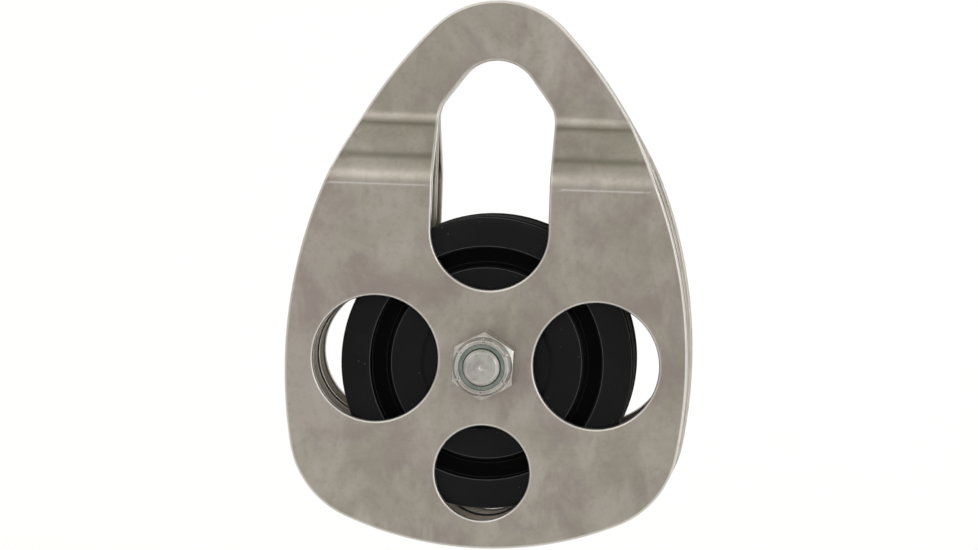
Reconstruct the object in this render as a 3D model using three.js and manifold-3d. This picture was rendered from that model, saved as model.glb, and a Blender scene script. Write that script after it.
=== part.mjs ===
// Double sheave block: a centre plate and two swinging cheek plates on one through bolt,
// with two grooved sheaves, each on its own sealed ball bearing.
// Millimetres. X is across the plates, Y is along the bolt, Z is up.
// The group's origin is the crown of the eye, on the centre plate's middle plane.
import * as THREE from 'three';
import { mergeVertices } from 'three/addons/utils/BufferGeometryUtils.js';
import Module from 'manifold-3d';

const wasm = await Module();
wasm.setup();

// Plates: outline, measured from the bolt's axis.
const PLATE_THICKNESS = 3.2;
const BOTTOM_DROP = 58.0;          // bolt axis down to the lowest edge
const BOTTOM_RADIUS = 110;
const CORNER_RADIUS = 30;
const HALF_WIDTH = 63.2;           // at the widest place
const WIDEST_HEIGHT = -0.3;        // height of the widest place above the bolt axis
const EYE_BAND = 19.0;             // width of metal over the eye
const CROWN_RADIUS = 28.6;         // outside of the crown

// Plates: eye, slot and windows.
const EYE_HEIGHT = 94.5;           // bolt axis up to the eye's crown
const EYE_CROWN_RADIUS = 13.3;
const EYE_FLANK_ANGLE = 36.8;      // degrees from vertical
const EYE_SHOULDER_RADIUS = 10;
const SLOT_HALF_WIDTH = 18.4;
const SLOT_FLOOR = 23.2;           // bolt axis up to the bottom of the slot
const SIDE_BAND = 8.8;             // metal between a side window and the plate's edge
const BOTTOM_BAND = 9.0;           // metal between the bottom window and the plate's edge
const HUB_BESIDE = 15.0;           // metal between the bolt axis and a side window
const HUB_BELOW = 19.4;            // metal between the bolt axis and the bottom window
const SIDE_WINDOW_RISE = 0.6;      // side window centres above the bolt axis

// Bolt and lock nut.
const BOLT_RADIUS = 6.35;
const BOLT_CLEARANCE = 0.08;       // running fit of plates on the bolt
const FLATS_PER_DIAMETER = 1.5;    // wrench size of the nut and head
const HEAD_HEIGHT = 7.9;
const NUT_HEX_HEIGHT = 10.4;
const COLLAR_WALL = 1.0;
const COLLAR_HEIGHT = 4.4;
const COLLAR_LIP = 0.8;            // thickness of the metal turned in over the insert
const COLLAR_TURN_IN = 0.9;        // how far it reaches in past the insert's edge
const COLLAR_BEVEL = 0.7;
const INSERT_WALL = 1.75;
const INSERT_LENGTH = 3.2;
const BOLT_PROUD = 1.3;            // bolt end past the nut's collar
const BOLT_END_CHAMFER = 1.3;
const CORNER_CUT_MARGIN = 0.2;     // inside the flats, where a corner's chamfer starts
const CORNER_CUT_ANGLE = 30;       // degrees, on the hexagons' corners
const STACK_GAP = 0.1;             // between pieces stacked along the bolt

// Sheaves, and the bays they run in.
const BAY_WIDTH = 15.6;            // space between two plates
const SIDE_CLEARANCE = 0.7;        // sheave to plate
const SHEAVE_RADIUS = 45.7;
const LIP_DEPTH = 1.4;             // the rim's outermost, narrowing edge
const LIP_FALL = 1.0;              // how much each side of the edge narrows
const LIP_LAND = 0.5;              // flat at the groove's mouth
const GROOVE_DEPTH = 6.9;          // takes rope up to 11 mm
const RIM_DEPTH = 9.1;             // edge of the sheave in to the pocket
const RIM_FACE_SLOPE = 0.6;        // how far the rim's side face falls back outward
const POCKET_WIDTH = 5.3;          // annular pocket in each side
const POCKET_DEPTH = 4.2;
const POCKET_EASE = 1.4;           // sloping shoulder between the pocket and the web face
const POCKET_DRAFT = 0.2;
const WEB_SETBACK = 0.9;           // web face below the rim face
const HUB_WALL = 3.5;              // round the bearing
const HUB_LIP_REACH = 1.4;          // staked lip, in over the bearing's outer ring
const HUB_LIP_THICKNESS = 0.6;
const HUB_EASE = 1.3;              // slope from the web face down to the hub

// Ball bearings.
const BEARING_RADIUS = 16;
const BEARING_WIDTH = 10;
const BEARING_FIT = 0.02;
const TRACK_SHARE = 0.57;          // height of a land above the balls' centres over ball radius
const BALL_COUNT = 7;
const BALL_CLEARANCE = 0.18;
const CAGE_CLEARANCE = 0.25;
const CAGE_SIDE_GAP = 0.2;         // cage to each seal
const CAGE_RIM = 0.26;             // beside each ball pocket
const SEAL_THICKNESS = 0.9;
const SEAL_SETBACK = 0.3;
const SEAL_GRIP = 1.0;             // depth of the seal's seat in the outer ring
const SEAL_CLEARANCE = 0.12;
const SPACER_STEP = 0.2;           // spacer's edge inside the inner ring's

// Cheek plates: the double bend that brings the eyes together.
const BEND_CLEARANCE = 9.9;        // edge of the sheave up to the first bend
const BEND_ANGLE = 42.5;           // degrees
const BEND_OUTER_RADIUS = 9;
const EYE_GAP = 0.3;               // left between the plates where they meet at the eye

const OVERRUN = 1;                   // how far cuts and joins run past what they meet

const ROUND = 36;                  // facets on a full turn
const BEND_STEPS = 4;                // facets on each bend
const SMALL_ROUND = 24;            // facets on the small plain rings
const HALF_THICKNESS = PLATE_THICKNESS / 2;
const CHEEK_INNER = HALF_THICKNESS + BAY_WIDTH;    // middle plane to a cheek plate's inner face
const CHEEK_OUTER = CHEEK_INNER + PLATE_THICKNESS;
const CHEEK_SET = BAY_WIDTH - EYE_GAP;             // offset of the double bend
const BEND_START = SHEAVE_RADIUS + BEND_CLEARANCE;
const PLATE_TOP = EYE_HEIGHT + EYE_BAND;
const SIDE_WINDOW_RADIUS = (HALF_WIDTH - SIDE_BAND - HUB_BESIDE) / 2;
const BOTTOM_WINDOW_RADIUS = (BOTTOM_DROP - BOTTOM_BAND - HUB_BELOW) / 2;
const BOLT_HOLE = BOLT_RADIUS + BOLT_CLEARANCE;
const WRENCH_FLATS = 2 * BOLT_RADIUS * FLATS_PER_DIAMETER;
const INSERT_RADIUS = BOLT_RADIUS + INSERT_WALL;
const COLLAR_RADIUS = INSERT_RADIUS + COLLAR_WALL;
const SHEAVE_WIDTH = BAY_WIDTH - 2 * SIDE_CLEARANCE;
const LIP_HALF_WIDTH = SHEAVE_WIDTH / 2 - LIP_FALL;
const GROOVE_RADIUS = LIP_HALF_WIDTH - LIP_LAND;
const PITCH_RADIUS = (BEARING_RADIUS + BOLT_HOLE) / 2;
const CAGE_HALF_WIDTH = BEARING_WIDTH / 2 - SEAL_SETBACK - SEAL_THICKNESS - CAGE_SIDE_GAP;
const POCKET_RADIUS = CAGE_HALF_WIDTH - CAGE_RIM;
const BALL_RADIUS = POCKET_RADIUS - 2 * BALL_CLEARANCE;
const INNER_LAND_RADIUS = PITCH_RADIUS - TRACK_SHARE * BALL_RADIUS;
const OUTER_LAND_RADIUS = PITCH_RADIUS + TRACK_SHARE * BALL_RADIUS;
const SEAL_SEAT_RADIUS = OUTER_LAND_RADIUS + SEAL_GRIP;
const SHEAVE_PLACE = HALF_THICKNESS + BAY_WIDTH / 2;

const radians = (angle) => angle * Math.PI / 180;
const degrees = (angle) => angle * 180 / Math.PI;

const steel = { color: 0x9b948a, roughness: 0.42, metalness: 0.9 };
const zinc = { color: 0xb9bab4, roughness: 0.38, metalness: 0.9 };
const anodised = { color: 0x1d1f20, roughness: 0.5, metalness: 0.3 };
const bearingSteel = { color: 0xc4c6c8, roughness: 0.2, metalness: 1.0 };
const nylon = { color: 0x3f8f7c, roughness: 0.6, metalness: 0.0 };
const rubber = { color: 0x202020, roughness: 0.8, metalness: 0.0 };
const polymer = { color: 0x6b5a3a, roughness: 0.6, metalness: 0.0 };

// ---- solids -----------------------------------------------------------------------------

function toSolid(geometry) {
  const bare = geometry.index ? geometry.toNonIndexed() : geometry.clone();
  for (const name of Object.keys(bare.attributes)) {
    if (name !== 'position') bare.deleteAttribute(name);
  }
  const welded = mergeVertices(bare, 1e-5);
  return new wasm.Manifold(new wasm.Mesh({
    numProp: 3,
    vertProperties: new Float32Array(welded.attributes.position.array),
    triVerts: new Uint32Array(welded.index.array),
  }));
}

function toGeometry(solid) {
  const { vertProperties, triVerts, numProp } = solid.getMesh();
  const positions = new Float32Array(vertProperties.length / numProp * 3);
  for (let i = 0; i < positions.length / 3; i += 1) {
    positions.set(vertProperties.subarray(i * numProp, i * numProp + 3), i * 3);
  }
  const geometry = new THREE.BufferGeometry();
  geometry.setAttribute('position', new THREE.BufferAttribute(positions, 3));
  geometry.setIndex(new THREE.BufferAttribute(new Uint32Array(triVerts), 1));
  geometry.computeVertexNormals();
  return geometry;
}

// A closed ring of [radius, y] points turned about the bolt's axis.
function turned(profile, segments = ROUND) {
  const points = profile.map(([r, y]) => new THREE.Vector2(r, y));
  if (THREE.ShapeUtils.area(points) < 0) points.reverse();
  points.push(points[0].clone());
  return new THREE.LatheGeometry(points, segments);
}

// A shape drawn in X and Z, carried along Y from `from` to `to`.
function alongBolt(shape, from, to, curveSegments = 12) {
  const geometry = new THREE.ExtrudeGeometry(shape, {
    depth: to - from, bevelEnabled: false, curveSegments,
  });
  geometry.rotateX(Math.PI / 2);
  geometry.translate(0, to, 0);
  return geometry;
}

// Points on an arc: angles in degrees, measured from +X towards the second coordinate.
function arc(cx, cy, radius, from, to, steps) {
  return Array.from({ length: steps + 1 }, (_, i) => {
    const angle = radians(from + (to - from) * i / steps);
    return [cx + radius * Math.cos(angle), cy + radius * Math.sin(angle)];
  });
}

// ---- plates -----------------------------------------------------------------------------

// Where two circles cross, to the right of the line from the first centre to the second.
function crossing([ax, ay], reachA, [bx, by], reachB) {
  const apart = Math.hypot(bx - ax, by - ay);
  const along = (reachA ** 2 - reachB ** 2 + apart ** 2) / (2 * apart);
  const aside = Math.sqrt(reachA ** 2 - along ** 2);
  const [ux, uy] = [(bx - ax) / apart, (by - ay) / apart];
  return [ax + ux * along + uy * aside, ay + uy * along - ux * aside];
}

const bearingOf = ([ax, ay], [bx, by]) => degrees(Math.atan2(by - ay, bx - ax));

// The right half of the outline, from the bottom up to the top: four arcs, each tangent to the
// next. The side arc's radius follows from the widest place and the crown that it runs into.
function outlineHalf() {
  const rise = PLATE_TOP - WIDEST_HEIGHT - CROWN_RADIUS;
  const sideRadius = (HALF_WIDTH ** 2 - CROWN_RADIUS ** 2 + rise ** 2)
    / (2 * (HALF_WIDTH - CROWN_RADIUS));
  const bottom = [0, BOTTOM_RADIUS - BOTTOM_DROP];
  const side = [HALF_WIDTH - sideRadius, WIDEST_HEIGHT];
  const crown = [0, PLATE_TOP - CROWN_RADIUS];
  const corner = crossing(side, sideRadius - CORNER_RADIUS, bottom, BOTTOM_RADIUS - CORNER_RADIUS);
  const bottomEnd = bearingOf(bottom, corner);
  const cornerEnd = bearingOf(side, corner);
  const sideEnd = bearingOf(side, crown);
  return [
    ...arc(...bottom, BOTTOM_RADIUS, -90, bottomEnd, 6),
    ...arc(...corner, CORNER_RADIUS, bottomEnd, cornerEnd, 8).slice(1),
    ...arc(...side, sideRadius, cornerEnd, sideEnd, 14).slice(1),
    ...arc(...crown, CROWN_RADIUS, sideEnd, 90, 8).slice(1),
  ];
}

// The right half of the slot and eye, from the slot's floor up to the crown.
function eyeHalf() {
  const slotCentre = SLOT_FLOOR + SLOT_HALF_WIDTH;
  const crownCentre = EYE_HEIGHT - EYE_CROWN_RADIUS;
  const angle = radians(EYE_FLANK_ANGLE);
  // The shoulder arc touches the straight side of the slot and the slanted flank.
  const shoulderX = SLOT_HALF_WIDTH - EYE_SHOULDER_RADIUS;
  const reach = EYE_CROWN_RADIUS + crownCentre * Math.sin(angle);
  const shoulderZ = (reach - EYE_SHOULDER_RADIUS - shoulderX * Math.cos(angle)) / Math.sin(angle);
  return [
    ...arc(0, slotCentre, SLOT_HALF_WIDTH, -90, 0, 9),
    ...arc(shoulderX, shoulderZ, EYE_SHOULDER_RADIUS, 0, EYE_FLANK_ANGLE, 3),
    ...arc(0, crownCentre, EYE_CROWN_RADIUS, EYE_FLANK_ANGLE, 90, 6),
  ];
}

// Closes a right half that starts and ends on the middle line by adding its mirror image.
function mirrored(half) {
  const left = half.slice(1, -1).reverse().map(([x, z]) => [-x, z]);
  return [...half, ...left].map(([x, z]) => new THREE.Vector2(x, z));
}

function platePlan() {
  const plan = new THREE.Shape(mirrored(outlineHalf()));
  const hole = (x, z, radius) => {
    const ring = arc(x, z, radius, 0, 360, ROUND).slice(0, -1);
    plan.holes.push(new THREE.Path(ring.map(([px, pz]) => new THREE.Vector2(px, pz))));
  };
  plan.holes.push(new THREE.Path(mirrored(eyeHalf())));
  hole(-HUB_BESIDE - SIDE_WINDOW_RADIUS, SIDE_WINDOW_RISE, SIDE_WINDOW_RADIUS);
  hole(HUB_BESIDE + SIDE_WINDOW_RADIUS, SIDE_WINDOW_RISE, SIDE_WINDOW_RADIUS);
  hole(0, -HUB_BELOW - BOTTOM_WINDOW_RADIUS, BOTTOM_WINDOW_RADIUS);
  hole(0, 0, BOLT_HOLE);
  return plan;
}

// One face of the bent sheet, as [y, z] points going up, for a cheek on the -Y side.
// `outside` is the face away from the sheave.
function bentFace(outside) {
  const angle = radians(BEND_ANGLE);
  const lower = outside ? BEND_OUTER_RADIUS : BEND_OUTER_RADIUS - PLATE_THICKNESS;
  const upper = outside ? BEND_OUTER_RADIUS - PLATE_THICKNESS : BEND_OUTER_RADIUS;
  const start = outside ? -CHEEK_OUTER : -CHEEK_INNER;
  const both = 2 * BEND_OUTER_RADIUS - PLATE_THICKNESS;
  const slope = (CHEEK_SET - both * (1 - Math.cos(angle))) / Math.tan(angle);
  const top = BEND_START + both * Math.sin(angle) + slope;
  return [
    [start, -BOTTOM_DROP - OVERRUN],
    ...arc(-CHEEK_OUTER + BEND_OUTER_RADIUS, BEND_START, lower, 180, 180 - BEND_ANGLE, BEND_STEPS),
    ...arc(-CHEEK_OUTER + CHEEK_SET - (BEND_OUTER_RADIUS - PLATE_THICKNESS), top, upper,
      -BEND_ANGLE, 0, BEND_STEPS),
    [start + CHEEK_SET, PLATE_TOP + OVERRUN],
  ];
}

function cheekPlate(side) {
  const section = [...bentFace(true), ...bentFace(false).reverse()];
  const shape = new THREE.Shape(section.map(([y, z]) => new THREE.Vector2(y, z)));
  const span = 2 * (HALF_WIDTH + OVERRUN);
  const sheet = new THREE.ExtrudeGeometry(shape, { depth: span, bevelEnabled: false });
  // (section y, section z, depth) becomes (depth, y, z).
  sheet.applyMatrix4(new THREE.Matrix4().set(0, 0, 1, -span / 2, 1, 0, 0, 0, 0, 1, 0, 0, 0, 0, 0, 1));
  const plan = alongBolt(platePlan(), -CHEEK_OUTER - OVERRUN, 0);
  const plate = toSolid(sheet).intersect(toSolid(plan));
  return toGeometry(side < 0 ? plate : plate.rotate([0, 0, 180]));
}

function centrePlate() {
  return alongBolt(platePlan(), -HALF_THICKNESS, HALF_THICKNESS);
}

// ---- bolt, nut and spacers --------------------------------------------------------------

// A hexagon with corners up and down, across the given flats.
function hexagon(flats) {
  const ring = arc(0, 0, flats / Math.sqrt(3), 30, 390, 6).slice(0, -1);
  return new THREE.Shape(ring.map(([x, z]) => new THREE.Vector2(x, z)));
}

// A cone-ended drum that trims a hexagon's corners at the ends that are chamfered.
function cornerTrim(from, to, chamferFrom, chamferTo) {
  const corner = WRENCH_FLATS / Math.sqrt(3) + CORNER_CUT_MARGIN;
  const face = WRENCH_FLATS / 2 - CORNER_CUT_MARGIN;
  const fall = (corner - face) * Math.tan(radians(CORNER_CUT_ANGLE));
  return turned([
    [0, from], [chamferFrom ? face : corner, from],
    [corner, chamferFrom ? from + fall : from],
    [corner, chamferTo ? to - fall : to],
    [chamferTo ? face : corner, to], [0, to],
  ]);
}

const NUT_SEAT = -CHEEK_OUTER - STACK_GAP;
const NUT_TOP = NUT_SEAT - NUT_HEX_HEIGHT - COLLAR_HEIGHT;
const HEAD_SEAT = CHEEK_OUTER + STACK_GAP;

function boltSolid() {
  const end = NUT_TOP - BOLT_PROUD;
  const shank = turned([
    [0, end], [BOLT_RADIUS - BOLT_END_CHAMFER, end], [BOLT_RADIUS, end + BOLT_END_CHAMFER],
    [BOLT_RADIUS, HEAD_SEAT + OVERRUN], [0, HEAD_SEAT + OVERRUN],
  ]);
  const top = HEAD_SEAT + HEAD_HEIGHT;
  const head = toSolid(alongBolt(hexagon(WRENCH_FLATS), HEAD_SEAT, top))
    .intersect(toSolid(cornerTrim(HEAD_SEAT, top, false, true)));
  return toGeometry(head.add(toSolid(shank)));
}

function lockNut() {
  const hexTop = NUT_SEAT - NUT_HEX_HEIGHT;
  const hex = toSolid(alongBolt(hexagon(WRENCH_FLATS), hexTop, NUT_SEAT))
    .intersect(toSolid(cornerTrim(hexTop, NUT_SEAT, true, true)));
  const collar = turned([
    [0, NUT_TOP], [COLLAR_RADIUS - COLLAR_BEVEL, NUT_TOP],
    [COLLAR_RADIUS, NUT_TOP + COLLAR_BEVEL], [COLLAR_RADIUS, hexTop + OVERRUN], [0, hexTop + OVERRUN],
  ]);
  const seatStart = NUT_TOP + COLLAR_LIP;
  const mouth = INSERT_RADIUS - COLLAR_TURN_IN;
  const bore = turned([
    [0, NUT_TOP - OVERRUN], [mouth, NUT_TOP - OVERRUN], [mouth, seatStart],
    [INSERT_RADIUS, seatStart], [INSERT_RADIUS, seatStart + INSERT_LENGTH],
    [BOLT_HOLE, seatStart + INSERT_LENGTH],
    [BOLT_HOLE, NUT_SEAT + OVERRUN], [0, NUT_SEAT + OVERRUN],
  ]);
  return toGeometry(hex.add(toSolid(collar)).subtract(toSolid(bore)));
}

function nutInsert() {
  const from = NUT_TOP + COLLAR_LIP + STACK_GAP;
  const to = NUT_TOP + COLLAR_LIP + INSERT_LENGTH - STACK_GAP;
  return turned([
    [BOLT_HOLE, from], [INSERT_RADIUS - STACK_GAP, from],
    [INSERT_RADIUS - STACK_GAP, to], [BOLT_HOLE, to],
  ], SMALL_ROUND);
}

// A plain ring between a plate and a bearing's inner ring; `side` is -1 or 1 from the sheave.
function spacer(side) {
  const near = BEARING_WIDTH / 2 + STACK_GAP;
  const far = BAY_WIDTH / 2 - STACK_GAP;
  const outer = INNER_LAND_RADIUS - SPACER_STEP;
  return turned([
    [BOLT_HOLE, side * near], [outer, side * near],
    [outer, side * far], [BOLT_HOLE, side * far],
  ], SMALL_ROUND);
}

// ---- sheave and bearing, about their own middle plane -----------------------------------

function sheave() {
  const half = SHEAVE_WIDTH / 2;
  const web = half - WEB_SETBACK;
  const floor = half - POCKET_DEPTH;
  const lipUnder = BEARING_WIDTH / 2 + STACK_GAP;
  const lipTop = lipUnder + HUB_LIP_THICKNESS;
  const lipRadius = BEARING_RADIUS - HUB_LIP_REACH;
  const hubRadius = BEARING_RADIUS + HUB_WALL;
  const rimInner = SHEAVE_RADIUS - RIM_DEPTH;
  const pocketInner = rimInner - POCKET_WIDTH;
  const side = [
    [BEARING_RADIUS + BEARING_FIT, lipUnder], [lipRadius, lipUnder],
    [lipRadius, lipTop], [hubRadius, lipTop],
    [hubRadius + HUB_EASE, web], [pocketInner - POCKET_EASE, web],
    [pocketInner, web - POCKET_EASE], [pocketInner + POCKET_DRAFT, floor],
    [rimInner - POCKET_DRAFT, floor], [rimInner, half],
    [SHEAVE_RADIUS - LIP_DEPTH, half - RIM_FACE_SLOPE], [SHEAVE_RADIUS, LIP_HALF_WIDTH],
  ];
  const grooveCentre = SHEAVE_RADIUS - GROOVE_DEPTH + GROOVE_RADIUS;
  const groove = arc(grooveCentre, 0, GROOVE_RADIUS, 90, 270, 8);
  return turned([
    ...side, ...groove, ...side.slice().reverse().map(([r, y]) => [r, -y]),
  ]);
}

// Half-round track for the balls, as points from +y to -y. `dir` is 1 when it opens outward.
function track(dir) {
  const radius = BALL_RADIUS + BALL_CLEARANCE;
  const land = dir > 0 ? INNER_LAND_RADIUS : OUTER_LAND_RADIUS;
  const spread = degrees(Math.acos(Math.abs(PITCH_RADIUS - land) / radius));
  const middle = dir > 0 ? 180 : 0;
  return arc(PITCH_RADIUS, 0, radius, middle - dir * spread, middle + dir * spread, 4);
}

function outerRing() {
  const half = BEARING_WIDTH / 2;
  const seat = half - SEAL_SETBACK - SEAL_THICKNESS - SEAL_CLEARANCE;
  return turned([
    [BEARING_RADIUS, half], [BEARING_RADIUS, -half], [SEAL_SEAT_RADIUS, -half],
    [SEAL_SEAT_RADIUS, -seat], [OUTER_LAND_RADIUS, -seat], ...track(-1).reverse(),
    [OUTER_LAND_RADIUS, seat], [SEAL_SEAT_RADIUS, seat], [SEAL_SEAT_RADIUS, half],
  ]);
}

function innerRing() {
  const half = BEARING_WIDTH / 2;
  const bore = BOLT_HOLE;
  return turned([
    [bore, -half], [bore, half], [INNER_LAND_RADIUS, half], ...track(1),
    [INNER_LAND_RADIUS, -half],
  ]);
}

function ballPlace(index) {
  const angle = 2 * Math.PI * index / BALL_COUNT;
  return [PITCH_RADIUS * Math.sin(angle), 0, PITCH_RADIUS * Math.cos(angle)];
}

function ball(index) {
  return new THREE.SphereGeometry(BALL_RADIUS, 8, 6).translate(...ballPlace(index));
}

function cage() {
  const inner = INNER_LAND_RADIUS + CAGE_CLEARANCE;
  const outer = OUTER_LAND_RADIUS - CAGE_CLEARANCE;
  const half = CAGE_HALF_WIDTH;
  let ring = toSolid(turned([[inner, -half], [outer, -half], [outer, half], [inner, half]]));
  for (let index = 0; index < BALL_COUNT; index += 1) {
    const pocket = new THREE.SphereGeometry(POCKET_RADIUS, 8, 6);
    ring = ring.subtract(toSolid(pocket.translate(...ballPlace(index))));
  }
  return toGeometry(ring);
}

function seal(side) {
  const far = side * (BEARING_WIDTH / 2 - SEAL_SETBACK);
  const near = far - side * SEAL_THICKNESS;
  const inner = INNER_LAND_RADIUS + SEAL_CLEARANCE;
  const outer = SEAL_SEAT_RADIUS - SEAL_CLEARANCE;
  return turned([[inner, near], [outer, near], [outer, far], [inner, far]], SMALL_ROUND);
}

// ---- assembly ---------------------------------------------------------------------------

function piece(name, geometry, finish) {
  const mesh = new THREE.Mesh(geometry, new THREE.MeshStandardMaterial(finish));
  mesh.name = name;
  return mesh;
}

function sheaveSet(label, side) {
  const set = new THREE.Group();
  set.position.y = side * SHEAVE_PLACE;
  set.add(piece(`${label}_sheave`, sheave(), anodised));
  set.add(piece(`${label}_bearing_outer_ring`, outerRing(), bearingSteel));
  set.add(piece(`${label}_bearing_inner_ring`, innerRing(), bearingSteel));
  set.add(piece(`${label}_bearing_cage`, cage(), polymer));
  for (let index = 0; index < BALL_COUNT; index += 1) {
    set.add(piece(`${label}_bearing_ball_${index + 1}`, ball(index), bearingSteel));
  }
  for (const [place, way] of [['outboard', side], ['inboard', -side]]) {
    set.add(piece(`${label}_bearing_seal_${place}`, seal(way), rubber));
    set.add(piece(`${label}_spacer_${place}`, spacer(way), zinc));
  }
  return set;
}

const block = new THREE.Group();
block.position.z = -EYE_HEIGHT;
block.add(piece('front_cheek_plate', cheekPlate(-1), steel));
block.add(piece('center_plate', centrePlate(), steel));
block.add(piece('rear_cheek_plate', cheekPlate(1), steel));
block.add(piece('axle_bolt', boltSolid(), zinc));
block.add(piece('lock_nut', lockNut(), zinc));
block.add(piece('lock_nut_insert', nutInsert(), nylon));
block.add(sheaveSet('front', -1));
block.add(sheaveSet('rear', 1));

const root = new THREE.Group();
root.add(block);

export default root;
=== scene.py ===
"""Double sheave block: three tumbled steel plates, two black sheaves on sealed bearings, one bolt.

Lengths in the shape functions are millimetres from the bolt's axis: X across the plates, Y along
the bolt (the nut is at -Y), Z up towards the eye. Meshes are put in metres in the part's own frame.
"""
import math

import bpy
import numpy as np
from mathutils import Matrix, Vector
from mathutils.geometry import delaunay_2d_cdt


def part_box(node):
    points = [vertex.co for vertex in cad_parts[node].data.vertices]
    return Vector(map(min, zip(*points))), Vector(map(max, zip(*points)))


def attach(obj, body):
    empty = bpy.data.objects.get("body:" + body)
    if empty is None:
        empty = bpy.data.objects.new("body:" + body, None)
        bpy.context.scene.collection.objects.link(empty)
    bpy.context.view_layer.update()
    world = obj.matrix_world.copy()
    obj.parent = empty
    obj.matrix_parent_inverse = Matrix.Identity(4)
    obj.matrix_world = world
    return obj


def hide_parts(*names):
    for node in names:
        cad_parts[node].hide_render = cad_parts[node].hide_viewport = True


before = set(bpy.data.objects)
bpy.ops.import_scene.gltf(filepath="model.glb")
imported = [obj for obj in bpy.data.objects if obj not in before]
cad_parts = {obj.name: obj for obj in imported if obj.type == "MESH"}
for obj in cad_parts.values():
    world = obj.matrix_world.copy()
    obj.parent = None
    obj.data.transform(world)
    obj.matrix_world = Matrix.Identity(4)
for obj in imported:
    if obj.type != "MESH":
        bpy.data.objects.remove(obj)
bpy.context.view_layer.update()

MM = 0.001
HALF_PI = math.pi / 2


def span(node):
    """Lowest and highest corner of a CAD node, in millimetres from the bolt's axis."""
    low, high = (np.array(corner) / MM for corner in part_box(node))
    return low - AXIS, high - AXIS


bolt_low, bolt_high = (np.array(corner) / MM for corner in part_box("axle_bolt"))
AXIS = np.array([0.0, 0.0, (bolt_low[2] + bolt_high[2]) / 2])

# Places taken from the frame.
CHEEK_OUTER = -span("front_cheek_plate")[0][1]
HALF_PLATE = span("center_plate")[1][1]
PLATE = 2 * HALF_PLATE
EYE_FACE = -span("front_cheek_plate")[1][1]
BAY = CHEEK_OUTER - PLATE - HALF_PLATE
BAY_MIDDLE = HALF_PLATE + BAY / 2
PLATE_TOP = span("center_plate")[1][2]
BOTTOM_DROP = -span("center_plate")[0][2]
HALF_WIDTH = span("center_plate")[1][0]
EYE_HEIGHT = -AXIS[2]
SHEAVE_RADIUS = span("front_sheave")[1][0]
SHEAVE_HALF = (span("front_sheave")[1][1] - span("front_sheave")[0][1]) / 2
BEARING_RADIUS = span("front_bearing_outer_ring")[1][0]
SPACER_RADIUS = span("front_spacer_outboard")[1][0]
BOLT_TIP = span("axle_bolt")[0][1]
HEAD_TOP = span("axle_bolt")[1][1]
NUT_TOP = span("lock_nut")[0][1]
NUT_SEAT = span("lock_nut")[1][1]

# Shape of the plates.
BOTTOM_RADIUS = 110.0
CORNER_RADIUS = 30.0
WIDEST_HEIGHT = -0.3
CROWN_RADIUS = 28.6
EYE_CROWN_RADIUS = 13.3
EYE_FLANK_ANGLE = math.radians(36.8)
EYE_SHOULDER_RADIUS = 10.0
SLOT_HALF_WIDTH = 18.4
SLOT_FLOOR = 23.2
SIDE_BAND = 8.8
BOTTOM_BAND = 9.0
HUB_BESIDE = 15.0
HUB_BELOW = 19.4
SIDE_WINDOW_RISE = 0.6
PLATE_EDGE = 0.85          # rounding of the plates' edges
BEND_START = SHEAVE_RADIUS + 9.9
BEND_ANGLE = math.radians(42.5)
BEND_OUTER = 9.0
BEND_INNER = BEND_OUTER - PLATE
PRESS_LINE = BEND_START - 0.3     # shallow groove that the press leaves, with a painted highlight along it
PRESS_LINE_WIDTH = 0.28
PRESS_LINE_DEPTH = 0.07
CREASE_LOW = BEND_START + 8.6     # painted shade line at the foot of the slope, and its half width
CREASE_LOW_WIDTH = 1.1
CREASE_HIGH = BEND_START + 18.4   # painted shade line at its top
CREASE_HIGH_WIDTH = 0.8
EDGE_STEP = 0.9            # spacing of points along an edge
FACE_STEP = 2.6            # spacing of points on a face
BEVEL_ROWS = 5             # rows over a plate's rounded edge, on each side
CORNER_STEPS = 5           # stretches in a turned piece's rounded corner

# Shape of the sheaves.
RIM_DEPTH = 9.1            # edge of the sheave in to the pocket
RIM_FACE_SLOPE = 0.6       # how far the rim's side face falls back outward
LIP_DEPTH = 1.4            # the rim's outermost, narrowing edge
LIP_FALL = 1.0             # how much each side of the edge narrows
LIP_LAND = 0.5             # flat at the groove's mouth
LIP_BLUNT = 0.15           # half the flat on the very edge
GROOVE_DEPTH = 6.9
POCKET_WIDTH = 5.3
POCKET_DEPTH = 4.2
POCKET_EASE = 1.4          # sloping shoulder between the pocket and the web face
POCKET_DRAFT = 0.2
WEB_SETBACK = 0.9          # web face below the rim face
HUB_WALL = 3.5             # round the bearing
HUB_EASE = 1.3             # slope from the web face down to the hub
HUB_LIP_REACH = 1.4        # lip staked in over the bearing's outer ring
HUB_LIP_LOW, HUB_LIP_HIGH = 5.1, 5.7
SHEAVE_AROUND = 288        # points round a sheave
GROOVE_STEPS = 24

# Shape of the seals, from the middle of the bearing outward.
SEAL_BACK, SEAL_FACE = 3.8, 4.7
SEAL_DISH = 0.35           # how far the middle of the seal lies below its beads
SEAL_SHOULDER = 0.15
SEAL_CLEARANCE = 0.12

# Shape of the fasteners.
BOLT_RADIUS = 6.35
BOLT_HOLE = BOLT_RADIUS + 0.08
HEX_BLEND = 0.12           # rounding where a hexagon's sides meet its chamfer
FASTENER_AROUND = 360
THREAD_PITCH = 1.954
THREAD_DEPTH = 0.9
THREAD_START, THREAD_END = 3.6, 17.0    # from the bolt's end
STACK_GAP = 0.1            # between a plate and the nut or the head
COLLAR_TURN_IN = 0.9       # how far the collar reaches in past the insert's edge
COLLAR_LIP = 0.8           # thickness of the metal turned in
COLLAR_ROLL = 1.2
INSERT_POCKET = 4.0        # depth of the insert's seat from the nut's top
NICK_WIDTH = 0.05          # radians
NICK_DEPTH = 0.5
TIP_REDUCTION = 0.5        # the bolt's tip is this much smaller in radius than its shank
TIP_LENGTH = 2.7
END_CHAMFER, END_CHAMFER_REACH = 1.0, 1.7
CENTRE_MARK_RADIUS, CENTRE_MARK_DEPTH = 0.75, 0.35
FLATS = 3 * BOLT_RADIUS
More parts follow.
